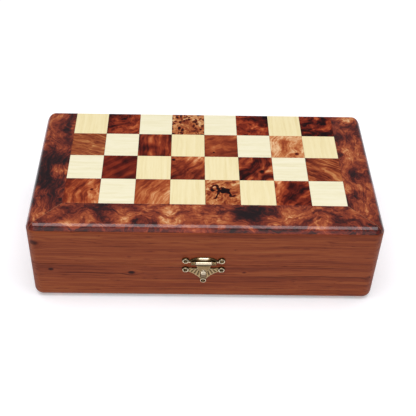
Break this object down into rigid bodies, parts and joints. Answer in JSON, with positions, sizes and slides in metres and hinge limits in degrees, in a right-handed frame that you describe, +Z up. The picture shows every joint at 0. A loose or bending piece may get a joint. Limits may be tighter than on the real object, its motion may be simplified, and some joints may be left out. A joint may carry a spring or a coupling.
{
  "type": "folding chess set with board",
  "caption": "Folding chess board in two halves that closes into a wooden case for its turned chessmen, with brass hinges and a front hasp latch.",
  "frame": {"origin": "centre of the closed case's underside, between its left and right ends and between its front and back faces, which leaves out the latch and the hinge knuckles", "axes": "+X along the fold, to the right as seen from the latch; +Y from the latch at the front to the hinges at the back; +Z up"},
  "size_m": [0.2984, 0.155, 0.088],
  "materials": {
    "thuya_wall": "straight-grained thuya, satin varnish",
    "burl_frame": "thuya burl, polished",
    "dark_squares": "thuya burl, polished",
    "light_squares": "lemonwood, polished",
    "panel_wood": "plain sanded wood",
    "felt": "green felt",
    "latch_brass": "pale antiqued brass, pressed",
    "hinge_brass": "drawn brass, lightly aged",
    "pin_steel": "drawn wire",
    "nail_brass": "brass pins",
    "light_men": "turned lemonwood, waxed",
    "dark_men": "turned thuya, waxed"
  },
  "bodies": {
    "base": {"base_front_wall": "thuya_wall", "base_back_wall": "thuya_wall", "base_left_wall": "thuya_wall", "base_right_wall": "thuya_wall", "base_burl_frame": "burl_frame", "base_dark_squares": "dark_squares", "base_light_squares": "light_squares", "base_board_panel": "panel_wood", "base_felt": "felt", "base_hinge_leaves": "hinge_brass", "hinge_pins": "pin_steel", "catch_plate": "latch_brass", "base_brass_nails": "nail_brass"},
    "lid": {"lid_front_wall": "thuya_wall", "lid_back_wall": "thuya_wall", "lid_left_wall": "thuya_wall", "lid_right_wall": "thuya_wall", "lid_burl_frame": "burl_frame", "lid_dark_squares": "dark_squares", "lid_light_squares": "light_squares", "lid_board_panel": "panel_wood", "lid_felt": "felt", "lid_hinge_leaves": "hinge_brass", "lid_latch_plate": "latch_brass", "hasp_pin": "pin_steel", "lid_brass_nails": "nail_brass"},
    "hasp": {"hasp": "latch_brass"},
    "light_king": {"light_king": "light_men"},
    "light_queen": {"light_queen": "light_men"},
    "light_bishop_1": {"light_bishop_1": "light_men"},
    "light_bishop_2": {"light_bishop_2": "light_men"},
    "light_knight_1": {"light_knight_1": "light_men"},
    "light_knight_2": {"light_knight_2": "light_men"},
    "light_rook_1": {"light_rook_1": "light_men"},
    "light_rook_2": {"light_rook_2": "light_men"},
    "light_pawn_1": {"light_pawn_1": "light_men"},
    "light_pawn_2": {"light_pawn_2": "light_men"},
    "light_pawn_3": {"light_pawn_3": "light_men"},
    "light_pawn_4": {"light_pawn_4": "light_men"},
    "light_pawn_5": {"light_pawn_5": "light_men"},
    "light_pawn_6": {"light_pawn_6": "light_men"},
    "light_pawn_7": {"light_pawn_7": "light_men"},
    "light_pawn_8": {"light_pawn_8": "light_men"},
    "dark_king": {"dark_king": "dark_men"},
    "dark_queen": {"dark_queen": "dark_men"},
    "dark_bishop_1": {"dark_bishop_1": "dark_men"},
    "dark_bishop_2": {"dark_bishop_2": "dark_men"},
    "dark_knight_1": {"dark_knight_1": "dark_men"},
    "dark_knight_2": {"dark_knight_2": "dark_men"},
    "dark_rook_1": {"dark_rook_1": "dark_men"},
    "dark_rook_2": {"dark_rook_2": "dark_men"},
    "dark_pawn_1": {"dark_pawn_1": "dark_men"},
    "dark_pawn_2": {"dark_pawn_2": "dark_men"},
    "dark_pawn_3": {"dark_pawn_3": "dark_men"},
    "dark_pawn_4": {"dark_pawn_4": "dark_men"},
    "dark_pawn_5": {"dark_pawn_5": "dark_men"},
    "dark_pawn_6": {"dark_pawn_6": "dark_men"},
    "dark_pawn_7": {"dark_pawn_7": "dark_men"},
    "dark_pawn_8": {"dark_pawn_8": "dark_men"}
  },
  "joints": [
    {"name": "board_fold", "type": "hinge", "parent": "base", "child": "lid", "pos_m": [0, 0.07455, 0.044], "axis": [-1, 0, 0], "range_deg": [0, 180]},
    {"name": "clasp_swing", "type": "hinge", "parent": "lid", "child": "hasp", "pos_m": [-0.0007, -0.0766, 0.0488], "axis": [-1, 0, 0], "range_deg": [0, 160]},
    {"name": "light_king_lift", "type": "slide", "parent": "base", "child": "light_king", "axis": [0, 0, 1], "range_m": [0, 0.04]},
    {"name": "light_queen_lift", "type": "slide", "parent": "base", "child": "light_queen", "axis": [0, 0, 1], "range_m": [0, 0.04]},
    {"name": "light_bishop_1_lift", "type": "slide", "parent": "base", "child": "light_bishop_1", "axis": [0, 0, 1], "range_m": [0, 0.04]},
    {"name": "light_bishop_2_lift", "type": "slide", "parent": "base", "child": "light_bishop_2", "axis": [0, 0, 1], "range_m": [0, 0.04]},
    {"name": "light_knight_1_lift", "type": "slide", "parent": "base", "child": "light_knight_1", "axis": [0, 0, 1], "range_m": [0, 0.04]},
    {"name": "light_knight_2_lift", "type": "slide", "parent": "base", "child": "light_knight_2", "axis": [0, 0, 1], "range_m": [0, 0.04]},
    {"name": "light_rook_1_lift", "type": "slide", "parent": "base", "child": "light_rook_1", "axis": [0, 0, 1], "range_m": [0, 0.04]},
    {"name": "light_rook_2_lift", "type": "slide", "parent": "base", "child": "light_rook_2", "axis": [0, 0, 1], "range_m": [0, 0.04]},
    {"name": "light_pawn_1_lift", "type": "slide", "parent": "base", "child": "light_pawn_1", "axis": [0, 0, 1], "range_m": [0, 0.04]},
    {"name": "light_pawn_2_lift", "type": "slide", "parent": "base", "child": "light_pawn_2", "axis": [0, 0, 1], "range_m": [0, 0.04]},
    {"name": "light_pawn_3_lift", "type": "slide", "parent": "base", "child": "light_pawn_3", "axis": [0, 0, 1], "range_m": [0, 0.04]},
    {"name": "light_pawn_4_lift", "type": "slide", "parent": "base", "child": "light_pawn_4", "axis": [0, 0, 1], "range_m": [0, 0.04]},
    {"name": "light_pawn_5_lift", "type": "slide", "parent": "base", "child": "light_pawn_5", "axis": [0, 0, 1], "range_m": [0, 0.04]},
    {"name": "light_pawn_6_lift", "type": "slide", "parent": "base", "child": "light_pawn_6", "axis": [0, 0, 1], "range_m": [0, 0.04]},
    {"name": "light_pawn_7_lift", "type": "slide", "parent": "base", "child": "light_pawn_7", "axis": [0, 0, 1], "range_m": [0, 0.04]},
    {"name": "light_pawn_8_lift", "type": "slide", "parent": "base", "child": "light_pawn_8", "axis": [0, 0, 1], "range_m": [0, 0.04]},
    {"name": "dark_king_lift", "type": "slide", "parent": "base", "child": "dark_king", "axis": [0, 0, 1], "range_m": [0, 0.04]},
    {"name": "dark_queen_lift", "type": "slide", "parent": "base", "child": "dark_queen", "axis": [0, 0, 1], "range_m": [0, 0.04]},
    {"name": "dark_bishop_1_lift", "type": "slide", "parent": "base", "child": "dark_bishop_1", "axis": [0, 0, 1], "range_m": [0, 0.04]},
    {"name": "dark_bishop_2_lift", "type": "slide", "parent": "base", "child": "dark_bishop_2", "axis": [0, 0, 1], "range_m": [0, 0.04]},
    {"name": "dark_knight_1_lift", "type": "slide", "parent": "base", "child": "dark_knight_1", "axis": [0, 0, 1], "range_m": [0, 0.04]},
    {"name": "dark_knight_2_lift", "type": "slide", "parent": "base", "child": "dark_knight_2", "axis": [0, 0, 1], "range_m": [0, 0.04]},
    {"name": "dark_rook_1_lift", "type": "slide", "parent": "base", "child": "dark_rook_1", "axis": [0, 0, 1], "range_m": [0, 0.04]},
    {"name": "dark_rook_2_lift", "type": "slide", "parent": "base", "child": "dark_rook_2", "axis": [0, 0, 1], "range_m": [0, 0.04]},
    {"name": "dark_pawn_1_lift", "type": "slide", "parent": "base", "child": "dark_pawn_1", "axis": [0, 0, 1], "range_m": [0, 0.04]},
    {"name": "dark_pawn_2_lift", "type": "slide", "parent": "base", "child": "dark_pawn_2", "axis": [0, 0, 1], "range_m": [0, 0.04]},
    {"name": "dark_pawn_3_lift", "type": "slide", "parent": "base", "child": "dark_pawn_3", "axis": [0, 0, 1], "range_m": [0, 0.04]},
    {"name": "dark_pawn_4_lift", "type": "slide", "parent": "base", "child": "dark_pawn_4", "axis": [0, 0, 1], "range_m": [0, 0.04]},
    {"name": "dark_pawn_5_lift", "type": "slide", "parent": "base", "child": "dark_pawn_5", "axis": [0, 0, 1], "range_m": [0, 0.04]},
    {"name": "dark_pawn_6_lift", "type": "slide", "parent": "base", "child": "dark_pawn_6", "axis": [0, 0, 1], "range_m": [0, 0.04]},
    {"name": "dark_pawn_7_lift", "type": "slide", "parent": "base", "child": "dark_pawn_7", "axis": [0, 0, 1], "range_m": [0, 0.04]},
    {"name": "dark_pawn_8_lift", "type": "slide", "parent": "base", "child": "dark_pawn_8", "axis": [0, 0, 1], "range_m": [0, 0.04]}
  ]
}
